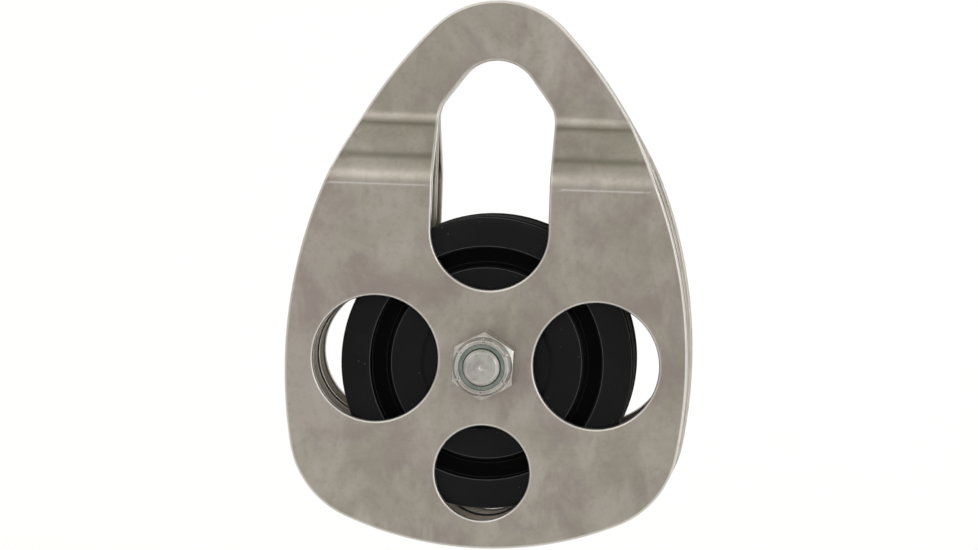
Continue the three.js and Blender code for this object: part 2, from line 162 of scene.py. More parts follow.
INSERT_RADIUS = BOLT_RADIUS + 1.75
COLLAR_RADIUS = INSERT_RADIUS + 1.0
NUT_HEX = 10.4
HEX_CHAMFER = math.radians(30)


# ---- meshes -----------------------------------------------------------------------------

def new_piece(name, points, faces, normals=None, edge=None):
    """A mesh object from points in millimetres from the bolt's axis, at the part's origin."""
    mesh = bpy.data.meshes.new(name)
    mesh.from_pydata(((points + AXIS) * MM).tolist(), [], faces)
    mesh.update()
    mesh.polygons.foreach_set("use_smooth", np.ones(len(mesh.polygons), bool))
    if edge is not None:
        wear = mesh.attributes.new("edge", "FLOAT", "POINT")
        wear.data.foreach_set("value", np.asarray(edge, np.float32))
    if normals is not None:
        mesh.normals_split_custom_set_from_vertices(normals.tolist())
    piece = bpy.data.objects.new(name, mesh)
    bpy.context.scene.collection.objects.link(piece)
    return piece


def finish_piece(piece, material, slot, body, *nodes):
    """Gives a piece its material and puts it on its body in place of CAD nodes; the slot is not
    used.
    """
    piece.data.materials.append(material)
    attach(piece, body)
    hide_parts(*nodes)
    return piece


def rounded(profile):
    """A closed loop of corners (radius, y, rounding) as points, with each corner an arc.

    A corner of turn t and rounding c starts c*tan(t/2) before the corner and ends as far after
    it; a quadratic curve between the two, with the corner as its control point, is the arc.
    Returns points (n, 2) and an edge value that is 1 in the middle of each rounded corner.
    """
    corners = np.array(profile, float)
    xy, soft = corners[:, :2], corners[:, 2]
    back = np.roll(xy, 1, 0) - xy
    ahead = np.roll(xy, -1, 0) - xy
    back_length = np.linalg.norm(back, axis=1, keepdims=True)
    ahead_length = np.linalg.norm(ahead, axis=1, keepdims=True)
    back, ahead = back / back_length, ahead / ahead_length
    half_turn = (math.pi - np.arccos(np.clip((back * ahead).sum(1), -1, 1))) / 2
    reach = np.minimum(soft * np.tan(half_turn),
                       0.48 * np.minimum(back_length, ahead_length)[:, 0])[:, None]
    points, edge = [], []
    for corner, b, a, r, turn in zip(xy, back, ahead, reach, half_turn):
        if r[0] < 1e-4:
            points.append(corner[None])
            edge.append([0.0])
            continue
        t = np.linspace(0, 1, CORNER_STEPS + 1)[:, None]
        points.append((1 - t) ** 2 * (corner + b * r) + 2 * t * (1 - t) * corner
                      + t ** 2 * (corner + a * r))
        edge.append(4 * t[:, 0] * (1 - t[:, 0]) * (turn > 0.2))
    return np.vstack(points), np.concatenate(edge)


def turned(name, profile, middle=0.0, around=144, shape=None, open_ends=False):
    """A profile of corners (radius, y, rounding) turned about the bolt's axis.

    Point (i, j) of the grid is (r_j sin a_i, middle + y_j, r_j cos a_i) with a_i = 2 pi i / around.
    `shape(angle, radius, y)` may return other radii and y for each grid point. With `open_ends`
    the profile starts and ends on the axis, where one point closes each end.
    """
    inner, edge = rounded(profile)
    if open_ends:
        keep = inner[:, 0] > 1e-6
        tips = inner[~keep][:, 1]
        inner, edge = inner[keep], edge[keep]
    signed = np.sum(inner[:, 0] * np.roll(inner[:, 1], -1) - np.roll(inner[:, 0], -1) * inner[:, 1])
    angle = np.linspace(0, 2 * math.pi, around, endpoint=False)[:, None]
    radius = np.broadcast_to(inner[:, 0], (around, len(inner)))
    y = np.broadcast_to(inner[:, 1], (around, len(inner)))
    if shape is not None:
        radius, y = shape(angle, radius, y)
    grid = np.stack([radius * np.sin(angle), middle + y, radius * np.cos(angle)], -1)
    count = len(inner)
    i = np.arange(around)[:, None]
    j = np.arange(count if not open_ends else count - 1)[None]
    after_i, after_j = (i + 1) % around, (j + 1) % count
    quads = np.stack([i * count + j, after_i * count + j, after_i * count + after_j,
                      i * count + after_j], -1).reshape(-1, 4)
    if signed < 0:
        quads = quads[:, ::-1]
    faces = quads.tolist()
    points = grid.reshape(-1, 3)
    wear = np.tile(edge, around)
    if open_ends:
        ends = np.array([[0, middle + tips[0], 0], [0, middle + tips[-1], 0]])
        first = len(points)
        points = np.vstack([points, ends])
        wear = np.append(wear, [0, 0])
        ring = np.arange(around)
        fan_a = np.stack([np.full(around, first), ring * count, (ring + 1) % around * count], -1)
        fan_b = np.stack([np.full(around, first + 1), (ring + 1) % around * count + count - 1,
                          ring * count + count - 1], -1)
        if signed < 0:
            fan_a, fan_b = fan_a[:, ::-1], fan_b[:, ::-1]
        faces += fan_a[:, ::-1].tolist() + fan_b[:, ::-1].tolist()
    return new_piece(name, points, faces, edge=wear)


# ---- plates -----------------------------------------------------------------------------

def arc(centre, radius, start, end):
    """Points along an arc, EDGE_STEP apart, from angle start to angle end."""
    steps = max(2, math.ceil(abs(end - start) * radius / EDGE_STEP))
    angle = np.linspace(start, end, steps + 1)
    return np.stack([centre[0] + radius * np.cos(angle), centre[1] + radius * np.sin(angle)], 1)


def bearing_of(a, b):
    return math.atan2(b[1] - a[1], b[0] - a[0])


def closed_loop(stretches):
    """Joins the right-half stretches bottom to top, fills straight gaps and mirrors them."""
    half = np.vstack(stretches)
    filled = [half[:1]]
    for a, b in zip(half[:-1], half[1:]):
        steps = max(1, math.ceil(np.linalg.norm(b - a) / EDGE_STEP))
        filled.append(a + (b - a) * (np.arange(1, steps + 1) / steps)[:, None])
    half = np.vstack(filled)
    half = half[np.r_[True, np.linalg.norm(np.diff(half, axis=0), axis=1) > 0.05]]
    left = half[1:-1][::-1] * [-1, 1]
    return np.vstack([half, left])


def outline_loop():
    """Four tangent arcs a side. The side arc's radius R makes it touch the crown circle from
    outside: R = (w^2 - c^2 + h^2) / (2 (w - c)), with w the half width, c the crown radius and h
    the height of the crown's centre over the widest place. The corner's centre lies R - k from
    the side arc's centre and B - k from the bottom arc's, for corner radius k, bottom radius B.
    """
    rise = PLATE_TOP - WIDEST_HEIGHT - CROWN_RADIUS
    side_radius = (HALF_WIDTH ** 2 - CROWN_RADIUS ** 2 + rise ** 2) \
        / (2 * (HALF_WIDTH - CROWN_RADIUS))
    bottom = np.array([0, BOTTOM_RADIUS - BOTTOM_DROP])
    side = np.array([HALF_WIDTH - side_radius, WIDEST_HEIGHT])
    crown = np.array([0, PLATE_TOP - CROWN_RADIUS])
    reach_a, reach_b = side_radius - CORNER_RADIUS, BOTTOM_RADIUS - CORNER_RADIUS
    apart = np.linalg.norm(bottom - side)
    along = (reach_a ** 2 - reach_b ** 2 + apart ** 2) / (2 * apart)
    aside = math.sqrt(reach_a ** 2 - along ** 2)
    ux, uz = (bottom - side) / apart
    corner = side + np.array([ux * along + uz * aside, uz * along - ux * aside])
    return closed_loop([
        arc(bottom, BOTTOM_RADIUS, -HALF_PI, bearing_of(bottom, corner)),
        arc(corner, CORNER_RADIUS, bearing_of(bottom, corner), bearing_of(side, corner))[1:],
        arc(side, side_radius, bearing_of(side, corner), bearing_of(side, crown))[1:],
        arc(crown, CROWN_RADIUS, bearing_of(side, crown), HALF_PI)[1:],
    ])


def eye_loop():
    """The slot's half-round floor, its straight sides, a shoulder arc that touches side and
    flank, the slanted flank and the eye's crown arc."""
    floor = np.array([0, SLOT_FLOOR + SLOT_HALF_WIDTH])
    crown = np.array([0, EYE_HEIGHT - EYE_CROWN_RADIUS])
    shoulder_x = SLOT_HALF_WIDTH - EYE_SHOULDER_RADIUS
    reach = EYE_CROWN_RADIUS + crown[1] * math.sin(EYE_FLANK_ANGLE)
    shoulder_z = (reach - EYE_SHOULDER_RADIUS - shoulder_x * math.cos(EYE_FLANK_ANGLE)) \
        / math.sin(EYE_FLANK_ANGLE)
    return closed_loop([
        arc(floor, SLOT_HALF_WIDTH, -HALF_PI, 0),
        arc((shoulder_x, shoulder_z), EYE_SHOULDER_RADIUS, 0, EYE_FLANK_ANGLE),
        arc(crown, EYE_CROWN_RADIUS, EYE_FLANK_ANGLE, HALF_PI),
    ])


def round_loop(x, z, radius):
    return arc((x, z), radius, 0, 2 * math.pi)[:-1]


def plate_loops():
    """The outline anticlockwise, then every opening clockwise, so metal is always on the left."""
    side = (HALF_WIDTH - SIDE_BAND - HUB_BESIDE) / 2
    low = (BOTTOM_DROP - BOTTOM_BAND - HUB_BELOW) / 2
    holes = [
        eye_loop(),
        round_loop(-HUB_BESIDE - side, SIDE_WINDOW_RISE, side),
        round_loop(HUB_BESIDE + side, SIDE_WINDOW_RISE, side),
        round_loop(0, -HUB_BELOW - low, low),
        round_loop(0, 0, BOLT_HOLE),
    ]
    return [outline_loop()] + [hole[::-1] for hole in holes]


def loop_normals(loop):
    """Unit vectors to the left of travel: the tangent (next - previous) turned a quarter turn."""
    tangent = np.roll(loop, -1, 0) - np.roll(loop, 1, 0)
    tangent /= np.linalg.norm(tangent, axis=1, keepdims=True)
    return np.stack([-tangent[:, 1], tangent[:, 0]], 1)


def inside(points, loop):
    """Even-odd rule: a point is inside if a ray to +X crosses the loop an odd number of times."""
    a, b = loop, np.roll(loop, -1, 0)
    px, pz = points[:, 0, None], points[:, 1, None]
    straddles = (a[:, 1] > pz) != (b[:, 1] > pz)
    with np.errstate(divide="ignore", invalid="ignore"):
        x = a[:, 0] + (pz - a[:, 1]) * (b[:, 0] - a[:, 0]) / (b[:, 1] - a[:, 1])
    return (straddles & (px < x)).sum(1) % 2 == 1


def fill_points(loops):
    """Grid points on the metal, clear of every edge, with rows close together at the bends."""
    rows = np.arange(-BOTTOM_DROP, PLATE_TOP, FACE_STEP)
    bend = np.concatenate([np.arange(BEND_START - 1.1, BEND_START + 0.6, 0.17),
                           np.arange(BEND_START + 0.9, BEND_START + 25, 0.7)])
    z = np.sort(np.concatenate([rows[(rows < bend[0] - 1) | (rows > bend[-1] + 1)], bend]))
    x = np.arange(-HALF_WIDTH, HALF_WIDTH, FACE_STEP)
    grid = np.stack(np.meshgrid(x, z), -1).reshape(-1, 2)
    keep = inside(grid, loops[0])
    for loop in loops[1:]:
        keep &= ~inside(grid, loop)
    grid = grid[keep]
    edge_points = np.vstack(loops)
    near = np.array([np.min(np.hypot(*(edge_points - point).T)) for point in grid])
    return grid[near > 0.9]


def triangulated(loops):
    """A filled face: the loops' points first, in order, then the grid points."""
    points = np.vstack(loops + [fill_points(loops)])
    edges, first = [], 0
    for loop in loops:
        index = np.arange(first, first + len(loop))
        edges += np.stack([index, np.roll(index, -1)], 1).tolist()
        first += len(loop)
    made = delaunay_2d_cdt([Vector(p) for p in points], edges, [], 0, 1e-6)
    vertices = np.array([v[:] for v in made[0]])
    triangles = np.array(made[2])
    middle = vertices[triangles].mean(1)
    keep = inside(middle, loops[0])
    for loop in loops[1:]:
        keep &= ~inside(middle, loop)
    assert len(vertices) == len(points) and np.abs(vertices - points).max() < 1e-4
    triangles = triangles[keep]
    a, b, c = (vertices[triangles[:, k]] for k in range(3))
    turn = (b[:, 0] - a[:, 0]) * (c[:, 1] - a[:, 1]) - (b[:, 1] - a[:, 1]) * (c[:, 0] - a[:, 0])
    triangles[turn < 0] = triangles[turn < 0][:, ::-1]
    return vertices, triangles


def bend_offset(z, lower, upper):
    """How far a face of a cheek plate has moved in at height z, and the face's tilt there.

    Below the first bend the offset is 0. The first bend is an arc of radius `lower`, on which
    the tilt t has sin t = (z - start) / lower and the offset is lower (1 - cos t). Then the
    face is straight at the bend angle, and the second bend is the same with radius `upper`,
    measured back from where the eye's flat begins. The press leaves a shallow groove of section
    depth * exp(-((z - place) / width)^2) along the foot of the first bend.
    """
    both = BEND_OUTER + BEND_INNER
    offset = CHEEK_OUTER - EYE_FACE - PLATE
    slope = (offset - both * (1 - math.cos(BEND_ANGLE))) / math.tan(BEND_ANGLE)
    top = BEND_START + both * math.sin(BEND_ANGLE) + slope
    tilt_low = np.arcsin(np.clip((z - BEND_START) / lower, 0, math.sin(BEND_ANGLE)))
    tilt_high = np.arcsin(np.clip((top - z) / upper, 0, math.sin(BEND_ANGLE)))
    first = lower * (1 - np.cos(tilt_low))
    last = offset - upper * (1 - np.cos(tilt_high))
    straight_from = BEND_START + lower * math.sin(BEND_ANGLE)
    on_slope = lower * (1 - math.cos(BEND_ANGLE)) + (z - straight_from) * math.tan(BEND_ANGLE)
    moved = np.where(z < straight_from, first,
                     np.where(z > top - upper * math.sin(BEND_ANGLE), last, on_slope))
    mark = PRESS_LINE_DEPTH * np.exp(-((z - PRESS_LINE) / PRESS_LINE_WIDTH) ** 2)
    return moved + mark, np.minimum(tilt_low, tilt_high)


def plate(name, bent, side, edge_brightness):
    """A plate with rounded edges.

    Rows of the edge are the loops moved into the metal by c (1 - sin p) and down from the face
    by c (1 - cos p), for rounding c and p from 0 to 90 degrees, first at one face and then,
    in the other order, at the other. The flat plan is filled once for each face. A cheek plate's
    two faces are then moved in by bend_offset; side -1 is the cheek at -Y and 1 its mirror.
    `edge_brightness` sets how much its edges are brightened; its low values on the centre and rear
    plates are painted shade inside the block, and the press's line gets a painted highlight. The
    crease value is painted shade, the sum of exp(-((z - place) / width)^2) over the two lines of
    the slope.
    """
    loops = plate_loops()
    phase = np.linspace(0, HALF_PI, BEVEL_ROWS + 1)
    inset = PLATE_EDGE * (1 - np.sin(phase))
    drop = PLATE_EDGE * (1 - np.cos(phase)) / PLATE
    row_inset = np.concatenate([inset, inset[::-1]])
    row_depth = np.concatenate([drop, 1 - drop[::-1]])
    row_phase = np.concatenate([phase, math.pi - phase[::-1]])
    face_loops = [loop + loop_normals(loop) * PLATE_EDGE for loop in loops]
    face, triangles = triangulated(face_loops)
    count = len(face)

    plan, depth, outward, faces, wear = [face], [np.zeros(count)], [np.zeros((count, 3))], [], []
    outward[0][:, 1] = -1
    wear.append(np.zeros(count))
    faces += triangles.tolist()
    total, first = count, 0
    rows = len(row_inset)
    face_back = []
    for loop in loops:
        normal = loop_normals(loop)
        size = len(loop)
        ids = [np.arange(first, first + size)]
        for r in range(1, rows):
            plan.append(loop + normal * row_inset[r])
            depth.append(np.full(size, row_depth[r]))
            side_part, face_part = math.sin(row_phase[r]), -math.cos(row_phase[r])
            outward.append(np.stack([-normal[:, 0] * side_part, np.full(size, face_part),
                                     -normal[:, 1] * side_part], 1))
            wear.append(np.full(size, math.sin(row_phase[r]) ** 0.5 if r < rows - 1 else 0.0))
            ids.append(np.arange(total, total + size))
            total += size
        for a, b in zip(ids[:-1], ids[1:]):
            faces += np.stack([a, b, np.roll(b, -1), np.roll(a, -1)], 1).tolist()
        face_back.append(ids[-1])
        first += size
    edge_count = first
    back_ids = np.concatenate(face_back + [np.arange(total, total + count - edge_count)])
    plan.append(face[edge_count:])
    depth.append(np.ones(count - edge_count))
    outward.append(np.tile([0.0, 1.0, 0.0], (count - edge_count, 1)))
    wear.append(np.zeros(count - edge_count))
    faces += back_ids[triangles][:, ::-1].tolist()

    plan, depth, outward = np.vstack(plan), np.concatenate(depth), np.vstack(outward)
    x, z = plan.T
    if bent:
        outer, tilt = bend_offset(z, BEND_OUTER, BEND_INNER)
        inner, _ = bend_offset(z, BEND_INNER, BEND_OUTER)
        y = -CHEEK_OUTER + outer * (1 - depth) + (inner + PLATE) * depth
        flat = outward[:, 1].copy()
        outward[:, 2] += -flat * np.sin(tilt)
        outward[:, 1] = flat * np.cos(tilt)
        outward /= np.linalg.norm(outward, axis=1, keepdims=True)
    else:
        y = -HALF_PLATE + PLATE * depth
    points = np.stack([x, y, z], 1)
    if side > 0:
        points[:, 1] *= -1
        outward[:, 1] *= -1
        faces = [face_ids[::-1] for face_ids in faces]
    edge_brightening = edge_brightness * np.concatenate(wear)
    # Painted highlight along the press line, put into the edge value.
    if bent:
        edge_brightening = np.maximum(edge_brightening, 0.7 * np.exp(-((z - PRESS_LINE) / PRESS_LINE_WIDTH) ** 2))
    made = new_piece(name, points, faces, outward, edge_brightening)
    if bent:
        # Painted shade along two lines of the slope.
        shade_lines = sum(np.exp(-((z - place) / width) ** 2) for place, width in (
            (CREASE_LOW, CREASE_LOW_WIDTH), (CREASE_HIGH, CREASE_HIGH_WIDTH)))
        crease_shade = made.data.attributes.new("crease_shade", "FLOAT", "POINT")
        crease_shade.data.foreach_set("value", shade_lines.astype(np.float32))
    return made


# ---- sheaves, rings and fasteners -------------------------------------------------------

def sheave(name, middle):
    """Rim with a rope groove, an annular pocket in each side, a thin web and a hub.

    The recess value is painted shade in the pocket: 1 on its floor and walls, easing to 0 at the
    rim and web.
    """
    half, web, floor = SHEAVE_HALF, SHEAVE_HALF - WEB_SETBACK, SHEAVE_HALF - POCKET_DEPTH
    hub, hub_lip = BEARING_RADIUS + HUB_WALL, BEARING_RADIUS - HUB_LIP_REACH
    rim = SHEAVE_RADIUS - RIM_DEPTH
    pocket = rim - POCKET_WIDTH
    lip = half - LIP_FALL
    groove = lip - LIP_LAND
    side = [
        (BEARING_RADIUS + 0.02, HUB_LIP_LOW, 0), (hub_lip, HUB_LIP_LOW, 0.1),
        (hub_lip, HUB_LIP_HIGH, 0.2), (hub, HUB_LIP_HIGH, 0.3), (hub + HUB_EASE, web, 0.5),
        (pocket - POCKET_EASE, web, 0.35), (pocket, web - POCKET_EASE, 0.4),
        (pocket + POCKET_DRAFT, floor, 0.5), (rim - POCKET_DRAFT, floor, 0.5), (rim, half, 0.3),
        (SHEAVE_RADIUS - LIP_DEPTH, half - RIM_FACE_SLOPE, 0.4),
        (SHEAVE_RADIUS, lip + LIP_BLUNT, 0.2), (SHEAVE_RADIUS, lip - LIP_BLUNT, 0.2),
    ]
    sweep = np.linspace(math.pi, 0, GROOVE_STEPS + 1)
    centre = SHEAVE_RADIUS - GROOVE_DEPTH + groove
    bed = [(centre - groove * math.sin(a), -groove * math.cos(a), 0) for a in sweep]
    mirrored = [(r, -y, soft) for r, y, soft in side[::-1]]
    made = turned(name, side + bed + mirrored, middle, SHEAVE_AROUND)
    place = np.empty(3 * len(made.data.vertices))
    made.data.vertices.foreach_get("co", place)
    x, y, z = (place.reshape(-1, 3) / MM - AXIS).T
    radius = np.hypot(x, z)
    inward = np.clip((radius - pocket + 1.6) / 1.2, 0, 1)
    inward *= np.clip((rim + 0.2 - radius) / 0.3, 0, 1)
    below = np.clip((half - 0.7 - np.abs(y - middle)) / 1.2, 0, 1)
    pocket_shade = made.data.attributes.new("pocket_shade", "FLOAT", "POINT")
    pocket_shade.data.foreach_set("value", (inward * below).astype(np.float32))
    return made


def plain_ring(name, inner, outer, near, far, soft):
    """A ring of square section with rounded edges."""
    return turned(name, [(inner, near, soft), (outer, near, soft), (outer, far, soft),
                         (inner, far, soft)])


def seal_ring(name, inner, outer, side, middle):
    """A seal with two raised beads and a shallow dish between them."""
    width = outer - inner
    shoulder, dish = SEAL_FACE - SEAL_SHOULDER, SEAL_FACE - SEAL_DISH
    profile = [
        (inner, SEAL_BACK, 0.1), (outer, SEAL_BACK, 0.1), (outer, shoulder, 0.2),
        (outer - 0.12 * width, SEAL_FACE, 0.3), (outer - 0.25 * width, dish, 0.3),
        (inner + 0.3 * width, dish, 0.3), (inner + 0.15 * width, SEAL_FACE, 0.3),
        (inner, shoulder, 0.2),
    ]
    return turned(name, [(r, side * y, soft) for r, y, soft in profile], middle)


def hexagon_radius(angle, turn=0.0):
    """Distance from the axis to a hexagon's side: flats / 2 / cos of the angle from its middle."""
    from_middle = np.mod(angle - turn, math.pi / 3) - math.pi / 6
    return FLATS / 2 / np.cos(from_middle)


def blended_min(a, b):
    """The smaller of two, with the meeting line rounded: (a+b)/2 - sqrt(((a-b)/2)^2 + w^2)."""
    return (a + b) / 2 - np.sqrt(((a - b) / 2) ** 2 + HEX_BLEND ** 2)


def fine(profile, step, closed=True):
    """Adds corners along a profile so that no stretch is longer than `step`."""
    dense = []
    ends = profile[1:] + profile[:1] if closed else profile[1:]
    for (r0, y0, soft), (r1, y1, _) in zip(profile, ends):
        count = max(1, math.ceil(math.hypot(r1 - r0, y1 - y0) / step))
        dense.append((r0, y0, soft))
        dense += [(r0 + (r1 - r0) * k / count, y0 + (y1 - y0) * k / count, 0)
                  for k in range(1, count)]
    return dense if closed else dense + profile[-1:]


HEX_TURN = math.radians(2)
CORNER = FLATS / math.sqrt(3)
FACE = FLATS / 2 - 0.2


def lock_nut(name):
    """Hexagon with both ends chamfered, and a thin collar rolled in over the insert.

    The collar's lip has six shallow nicks: its top is lowered by depth * exp(-(d/w)^2), with d
    the angle from the nearest nick.
    """
    hex_top = NUT_SEAT - NUT_HEX
    fall = (CORNER - FACE) * math.tan(HEX_CHAMFER)
    mouth = INSERT_RADIUS - COLLAR_TURN_IN
    profile = [
        (BOLT_HOLE, NUT_SEAT, 0.3), (FACE, NUT_SEAT, 0.3),
        (CORNER, NUT_SEAT - fall, 0), (CORNER, hex_top + fall, 0),
        (FACE, hex_top, 0.4), (COLLAR_RADIUS + 0.15, hex_top, 0.3),
        (COLLAR_RADIUS - 0.05, hex_top - 0.6, 0.5), (COLLAR_RADIUS, NUT_TOP + COLLAR_ROLL, 1.2),
        (COLLAR_RADIUS - 0.8, NUT_TOP, 1.1), (mouth + 0.1, NUT_TOP + 0.1, 0.5),
        (mouth, NUT_TOP + COLLAR_LIP, 0.2), (INSERT_RADIUS, NUT_TOP + COLLAR_LIP + 0.05, 0),
        (INSERT_RADIUS, NUT_TOP + INSERT_POCKET, 0), (BOLT_HOLE, NUT_TOP + INSERT_POCKET, 0),
    ]

    def shape(angle, radius, y):
        in_hex = (y > hex_top - 0.02) & (radius > COLLAR_RADIUS)
        radius = np.where(in_hex, blended_min(radius, hexagon_radius(angle, HEX_TURN)), radius)
        off = np.mod(angle - HEX_TURN + math.pi / 6, math.pi / 3) - math.pi / 6
        nick = np.exp(-(off / NICK_WIDTH) ** 2)
        top = np.clip((NUT_TOP + 1.3 - y) / 1.3, 0, 1) * (radius > mouth + 0.25)
        notched = radius - 0.18 * nick * top * (radius > COLLAR_RADIUS - 1.0)
        return notched, y + NICK_DEPTH * nick * top
    return turned(name, fine(profile, 0.3), around=FASTENER_AROUND, shape=shape)


def nylon_ring(name, outer, low, high):
    """The insert: its mouth closes in round the bolt's reduced tip, then opens to the thread."""
    return turned(name, [
        (BOLT_RADIUS - 0.4, low, 0.2), (outer, low, 0.2), (outer, high, 0.1),
        (BOLT_HOLE, high, 0.1), (BOLT_HOLE, low + 1.1, 0.2),
        (BOLT_RADIUS - 0.4, low + 0.5, 0.2),
    ])


def bolt(name):
    """Hex head, shank, and a threaded tip with a chamfer, a faced end and a centre dimple.

    Over the thread the radius is cut by up to d (|2 frac(y/p + angle/2pi) - 1| - 0.15), with d
    the depth and p the pitch, and the end face has rings 0.02 mm high.
    """
    seat = CHEEK_OUTER + STACK_GAP
    fall = (CORNER - FACE) * math.tan(HEX_CHAMFER)
    end = BOLT_TIP
    profile = [
        (0, end + CENTRE_MARK_DEPTH, 0), (0.4, end + 0.28, 0.3),
        (CENTRE_MARK_RADIUS, end + 0.02, 0.2), (BOLT_RADIUS - END_CHAMFER_REACH, end, 0.15),
        (BOLT_RADIUS - 0.72, end + END_CHAMFER, 0.2),
        (BOLT_RADIUS - TIP_REDUCTION, end + TIP_LENGTH, 0.2),
        (BOLT_RADIUS, end + THREAD_START, 0.2), (BOLT_RADIUS, end + THREAD_END, 0),
    ]
    head = [
        (BOLT_RADIUS, seat - 0.5, 0), (BOLT_RADIUS + 0.05, seat, 0), (FACE, seat, 0.3),
        (CORNER, seat + 0.3, 0), (CORNER, HEAD_TOP - fall, 0), (FACE - 0.3, HEAD_TOP, 0.5),
        (FACE - 3, HEAD_TOP, 0), (0.5, HEAD_TOP, 0), (0, HEAD_TOP, 0),
    ]

    def shape(angle, radius, y):
        in_head = (y > seat - 0.02) & (radius > BOLT_RADIUS + 0.2)
        radius = np.where(in_head, blended_min(radius, hexagon_radius(angle)), radius)
        wave = np.abs(2 * np.mod(y / THREAD_PITCH + angle / (2 * math.pi), 1) - 1)
        cut = np.clip((y - end - THREAD_START + 0.2) / 0.8, 0, 1)
        cut *= np.clip((end + THREAD_END - 0.5 - y) / 1.5, 0, 1)
        radius = radius - THREAD_DEPTH * cut * np.clip(wave - 0.15, 0, 1) * (y < seat - 5)
        rings = 0.02 * np.sin(radius * 9.0) * (y < end + 0.1) * (radius > 1.2)
        return radius, y + np.abs(rings)
    whole = fine(profile, 0.25, closed=False) + fine(head, 0.4, closed=False)
    return turned(name, whole, around=FASTENER_AROUND, shape=shape, open_ends=True)


# ---- materials --------------------------------------------------------------------------

def srgb(*rgb):
    """Display colour 0-255 as the linear colour that shaders use."""
    c = np.array(rgb) / 255
    return (*np.where(c < 0.04045, c / 12.92, ((c + 0.055) / 1.055) ** 2.4), 1)


def math_node(tree, operation, a, b):
    """Adds a Math node; a and b are numbers or sockets."""
    node = tree.nodes.new("ShaderNodeMath")
    node.operation = operation
    for place, value in enumerate([a, b]):
        if isinstance(value, (int, float)):
            node.inputs[place].default_value = value
        else:
            tree.links.new(value, node.inputs[place])
    return node.outputs[0]


def noise_node(tree, where, scale, detail=4.0, roughness=0.55, distortion=0.0):
    node = tree.nodes.new("ShaderNodeTexNoise")
    node.inputs["Scale"].default_value = scale
    node.inputs["Detail"].default_value = detail
    node.inputs["Roughness"].default_value = roughness
    node.inputs["Distortion"].default_value = distortion
    tree.links.new(where, node.inputs["Vector"])
    return node.outputs["Fac"]


def stretched(tree, where, scale):
    """Coordinates scaled along each axis, so that noise is drawn out along the smallest."""
    node = tree.nodes.new("ShaderNodeMapping")
    node.inputs["Scale"].default_value = scale
    tree.links.new(where, node.inputs["Vector"])
    return node.outputs["Vector"]


def spread(tree, value, low, high):
    """Maps low..high to 0..1, smoothly, and holds it there."""
    node = tree.nodes.new("ShaderNodeMapRange")
    node.interpolation_type = "SMOOTHSTEP"
    node.inputs["From Min"].default_value = low
    node.inputs["From Max"].default_value = high
    tree.links.new(value, node.inputs["Value"])
    return node.outputs["Result"]


def mix_colours(tree, amount, a, b):
    """Colour a drifting to b by `amount`; each is a value or a socket."""
    node = tree.nodes.new("ShaderNodeMix")
    node.data_type = "RGBA"
    for name, value in ((0, amount), (6, a), (7, b)):
        if isinstance(value, (int, float, tuple)):
            node.inputs[name].default_value = value
        else:
            tree.links.new(value, node.inputs[name])
    return node.outputs[2]


def new_group(name, inputs, outputs):
    """A shader node group with named sockets: (name, type, default) in and (name, type) out."""
    tree = bpy.data.node_groups.new(name, "ShaderNodeTree")
    for label, kind, default in inputs:
        made = tree.interface.new_socket(label, in_out="INPUT", socket_type=kind)
        if default is not None:
            made.default_value = default
    for label, kind in outputs:
        tree.interface.new_socket(label, in_out="OUTPUT", socket_type=kind)
    return tree, tree.nodes.new("NodeGroupInput"), tree.nodes.new("NodeGroupOutput")


FLOAT, VECTOR = "NodeSocketFloat", "NodeSocketVector"


def make_bright_edges_group():
    """Mask of brightened edges: the edge value broken up by noise; on the plates also painted
    highlight and shade.
    """
    tree, given, put_out = new_group(
        "bright_edges", [("Vector", VECTOR, None), ("Edge", FLOAT, 0.0), ("Scale", FLOAT, 400.0)],
        [("Mask", FLOAT)])
    noise = noise_node(tree, given.outputs["Vector"], 400.0, 3.0)
    tree.links.new(given.outputs["Scale"], noise.node.inputs["Scale"])
    broken = math_node(tree, "MULTIPLY", given.outputs["Edge"], spread(tree, noise, 0.12, 0.42))
    tree.links.new(broken, put_out.inputs["Mask"])
    return tree


def make_grain_group():
    """Fine tumbled grain: two scales of noise as a value and as a bumped normal."""
    tree, given, put_out = new_group(
        "fine_grain",
        [("Vector", VECTOR, None), ("Scale", FLOAT, 2500.0), ("Depth", FLOAT, 0.15)],
        [("Value", FLOAT), ("Normal", VECTOR)])
    small = noise_node(tree, given.outputs["Vector"], 2500.0, 2.0)
    tree.links.new(given.outputs["Scale"], small.node.inputs["Scale"])
    large = noise_node(tree, given.outputs["Vector"], 600.0, 3.0)
    tree.links.new(math_node(tree, "MULTIPLY", given.outputs["Scale"], 0.24),
                   large.node.inputs["Scale"])
    both = math_node(tree, "ADD", math_node(tree, "MULTIPLY", small, 0.6),
                     math_node(tree, "MULTIPLY", large, 0.4))
    bump = tree.nodes.new("ShaderNodeBump")
    bump.inputs["Distance"].default_value = 0.00006
    tree.links.new(given.outputs["Depth"], bump.inputs["Strength"])
    tree.links.new(both, bump.inputs["Height"])
    tree.links.new(both, put_out.inputs["Value"])
    tree.links.new(bump.outputs["Normal"], put_out.inputs["Normal"])
    return tree


def make_dust_group():
    """Mask of sparse pale specks and a few longer lint marks."""
    tree, given, put_out = new_group(
        "dust_specks", [("Vector", VECTOR, None), ("Amount", FLOAT, 0.3)], [("Mask", FLOAT)])
    cells = tree.nodes.new("ShaderNodeTexVoronoi")
    cells.inputs["Scale"].default_value = 520.0
    tree.links.new(given.outputs["Vector"], cells.inputs["Vector"])
    speck = math_node(tree, "SUBTRACT", 1.0, spread(tree, cells.outputs["Distance"], 0.05, 0.16))
    split = tree.nodes.new("ShaderNodeSeparateColor")
    tree.links.new(cells.outputs["Color"], split.inputs["Color"])
    chosen = math_node(tree, "LESS_THAN", split.outputs[0], given.outputs["Amount"])
    tree.links.new(math_node(tree, "MULTIPLY", speck, chosen), put_out.inputs["Mask"])
    return tree


BRIGHT_EDGES, GRAIN, DUST = make_bright_edges_group(), make_grain_group(), make_dust_group()


